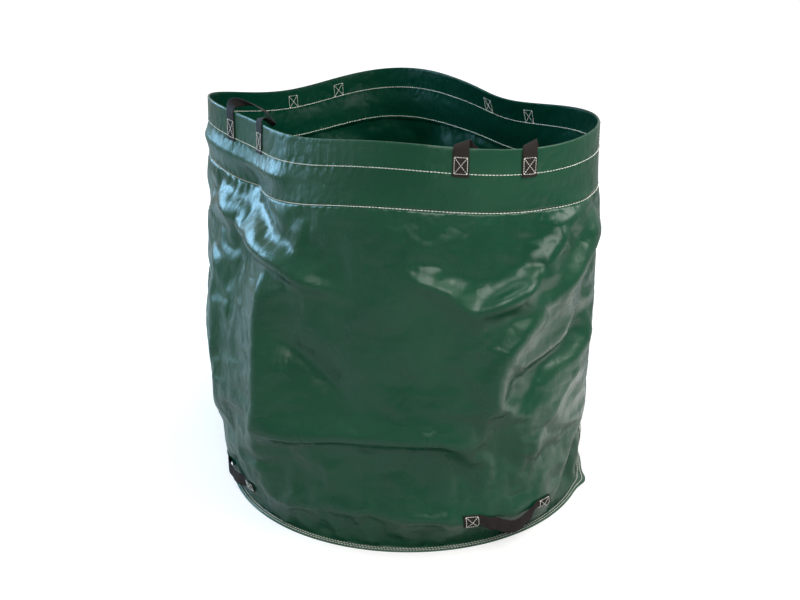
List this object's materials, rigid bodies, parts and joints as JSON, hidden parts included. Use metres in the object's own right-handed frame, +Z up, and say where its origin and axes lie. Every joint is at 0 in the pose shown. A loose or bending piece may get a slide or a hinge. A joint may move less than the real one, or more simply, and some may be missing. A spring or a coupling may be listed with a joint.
{
  "type": "garden waste bag",
  "caption": "Round upright garden waste bag of coated woven sheet with a deep sewn hem, webbing loops at the mouth and webbing grips above the base.",
  "frame": {"origin": "centre of the base panel's underside, on the floor", "axes": "+Z up out of the mouth; -Y towards the front, the side seen in the picture, and +X to its right"},
  "size_m": [0.7325, 0.7483, 0.731],
  "materials": {
    "sheet": "coated woven sheet, semi-gloss",
    "base_sheet": "coated woven sheet, semi-gloss",
    "webbing": "woven polypropylene webbing"
  },
  "bodies": {
    "root": {"wall": "sheet", "base_panel": "base_sheet", "top_handle_front_right": "webbing", "top_handle_front_left": "webbing", "top_handle_back_right": "webbing", "top_handle_back_left": "webbing", "bottom_handle_front_right": "webbing", "bottom_handle_front_left": "webbing", "bottom_handle_back_right": "webbing", "bottom_handle_back_left": "webbing"}
  },
  "joints": []
}
